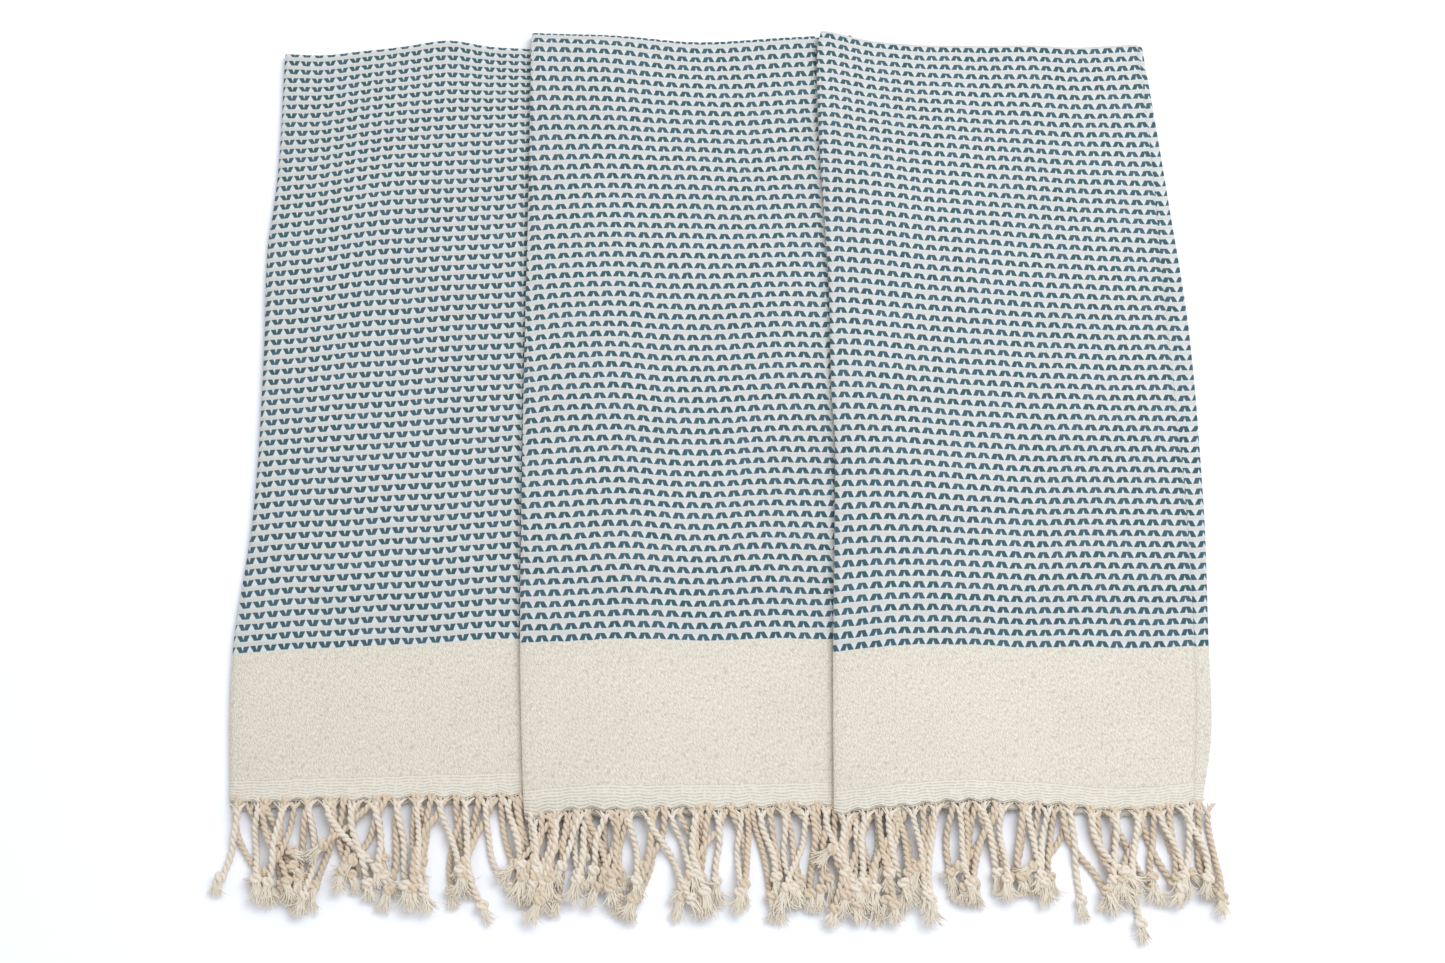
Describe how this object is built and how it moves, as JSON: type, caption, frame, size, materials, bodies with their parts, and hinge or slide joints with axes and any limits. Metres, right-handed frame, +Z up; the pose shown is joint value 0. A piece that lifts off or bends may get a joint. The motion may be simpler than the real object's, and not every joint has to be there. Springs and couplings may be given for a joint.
{
  "type": "bath towel set",
  "caption": "Fringed flat-woven cotton bath towels, each folded in thirds and in half, laid overlapping in a fan; they lift off, and the top one opens at its fold.",
  "frame": {"origin": "centre of the footprint, on the surface that the towels lie on", "axes": "+Z up from the surface, -Y towards the fringe, +Y towards the top folds, +X from the lowest towel to the top one"},
  "size_m": [0.8756, 0.9306, 0.0206],
  "materials": {
    "woven_cloth": "matt cotton, pale ground with rows of woven teal-blue arches and a cream end band",
    "fringe_cotton": "matt undyed cotton, twisted two-ply cords with knots and brushed ends"
  },
  "bodies": {
    "left_towel": {"left_lower_fringe": "fringe_cotton", "left_tassel_01": "fringe_cotton", "left_tassel_02": "fringe_cotton", "left_tassel_03": "fringe_cotton", "left_tassel_04": "fringe_cotton", "left_tassel_05": "fringe_cotton", "left_tassel_06": "fringe_cotton", "left_tassel_07": "fringe_cotton", "left_tassel_08": "fringe_cotton", "left_tassel_09": "fringe_cotton", "left_tassel_10": "fringe_cotton", "left_tassel_11": "fringe_cotton", "left_tassel_12": "fringe_cotton", "left_tassel_13": "fringe_cotton", "left_tassel_14": "fringe_cotton", "left_tassel_15": "fringe_cotton", "left_tassel_16": "fringe_cotton", "left_tassel_17": "fringe_cotton", "left_towel_cloth": "woven_cloth"},
    "middle_towel": {"middle_lower_fringe": "fringe_cotton", "middle_tassel_01": "fringe_cotton", "middle_tassel_02": "fringe_cotton", "middle_tassel_03": "fringe_cotton", "middle_tassel_04": "fringe_cotton", "middle_tassel_05": "fringe_cotton", "middle_tassel_06": "fringe_cotton", "middle_tassel_07": "fringe_cotton", "middle_tassel_08": "fringe_cotton", "middle_tassel_09": "fringe_cotton", "middle_tassel_10": "fringe_cotton", "middle_tassel_11": "fringe_cotton", "middle_tassel_12": "fringe_cotton", "middle_tassel_13": "fringe_cotton", "middle_tassel_14": "fringe_cotton", "middle_tassel_15": "fringe_cotton", "middle_tassel_16": "fringe_cotton", "middle_tassel_17": "fringe_cotton", "middle_towel_cloth": "woven_cloth"},
    "right_towel": {"right_towel_lower_half": "woven_cloth", "right_lower_fringe": "fringe_cotton"},
    "right_towel_flap": {"right_towel_upper_half": "woven_cloth", "right_tassel_01": "fringe_cotton", "right_tassel_02": "fringe_cotton", "right_tassel_03": "fringe_cotton", "right_tassel_04": "fringe_cotton", "right_tassel_05": "fringe_cotton", "right_tassel_06": "fringe_cotton", "right_tassel_07": "fringe_cotton", "right_tassel_08": "fringe_cotton", "right_tassel_09": "fringe_cotton", "right_tassel_10": "fringe_cotton", "right_tassel_11": "fringe_cotton", "right_tassel_12": "fringe_cotton", "right_tassel_13": "fringe_cotton", "right_tassel_14": "fringe_cotton", "right_tassel_15": "fringe_cotton", "right_tassel_16": "fringe_cotton", "right_tassel_17": "fringe_cotton"}
  },
  "joints": [
    {"name": "middle_towel_lift", "type": "slide", "parent": "left_towel", "child": "middle_towel", "axis": [0, 0, 1], "range_m": [0, 0.3]},
    {"name": "right_towel_lift", "type": "slide", "parent": "middle_towel", "child": "right_towel", "axis": [0, 0, 1], "range_m": [0, 0.3]},
    {"name": "right_towel_unfold", "type": "hinge", "parent": "right_towel", "child": "right_towel_flap", "pos_m": [0.28243, 0.4513, 0.01035], "axis": [-0.9993, 0.0148, 0.035], "range_deg": [0, 180]}
  ]
}
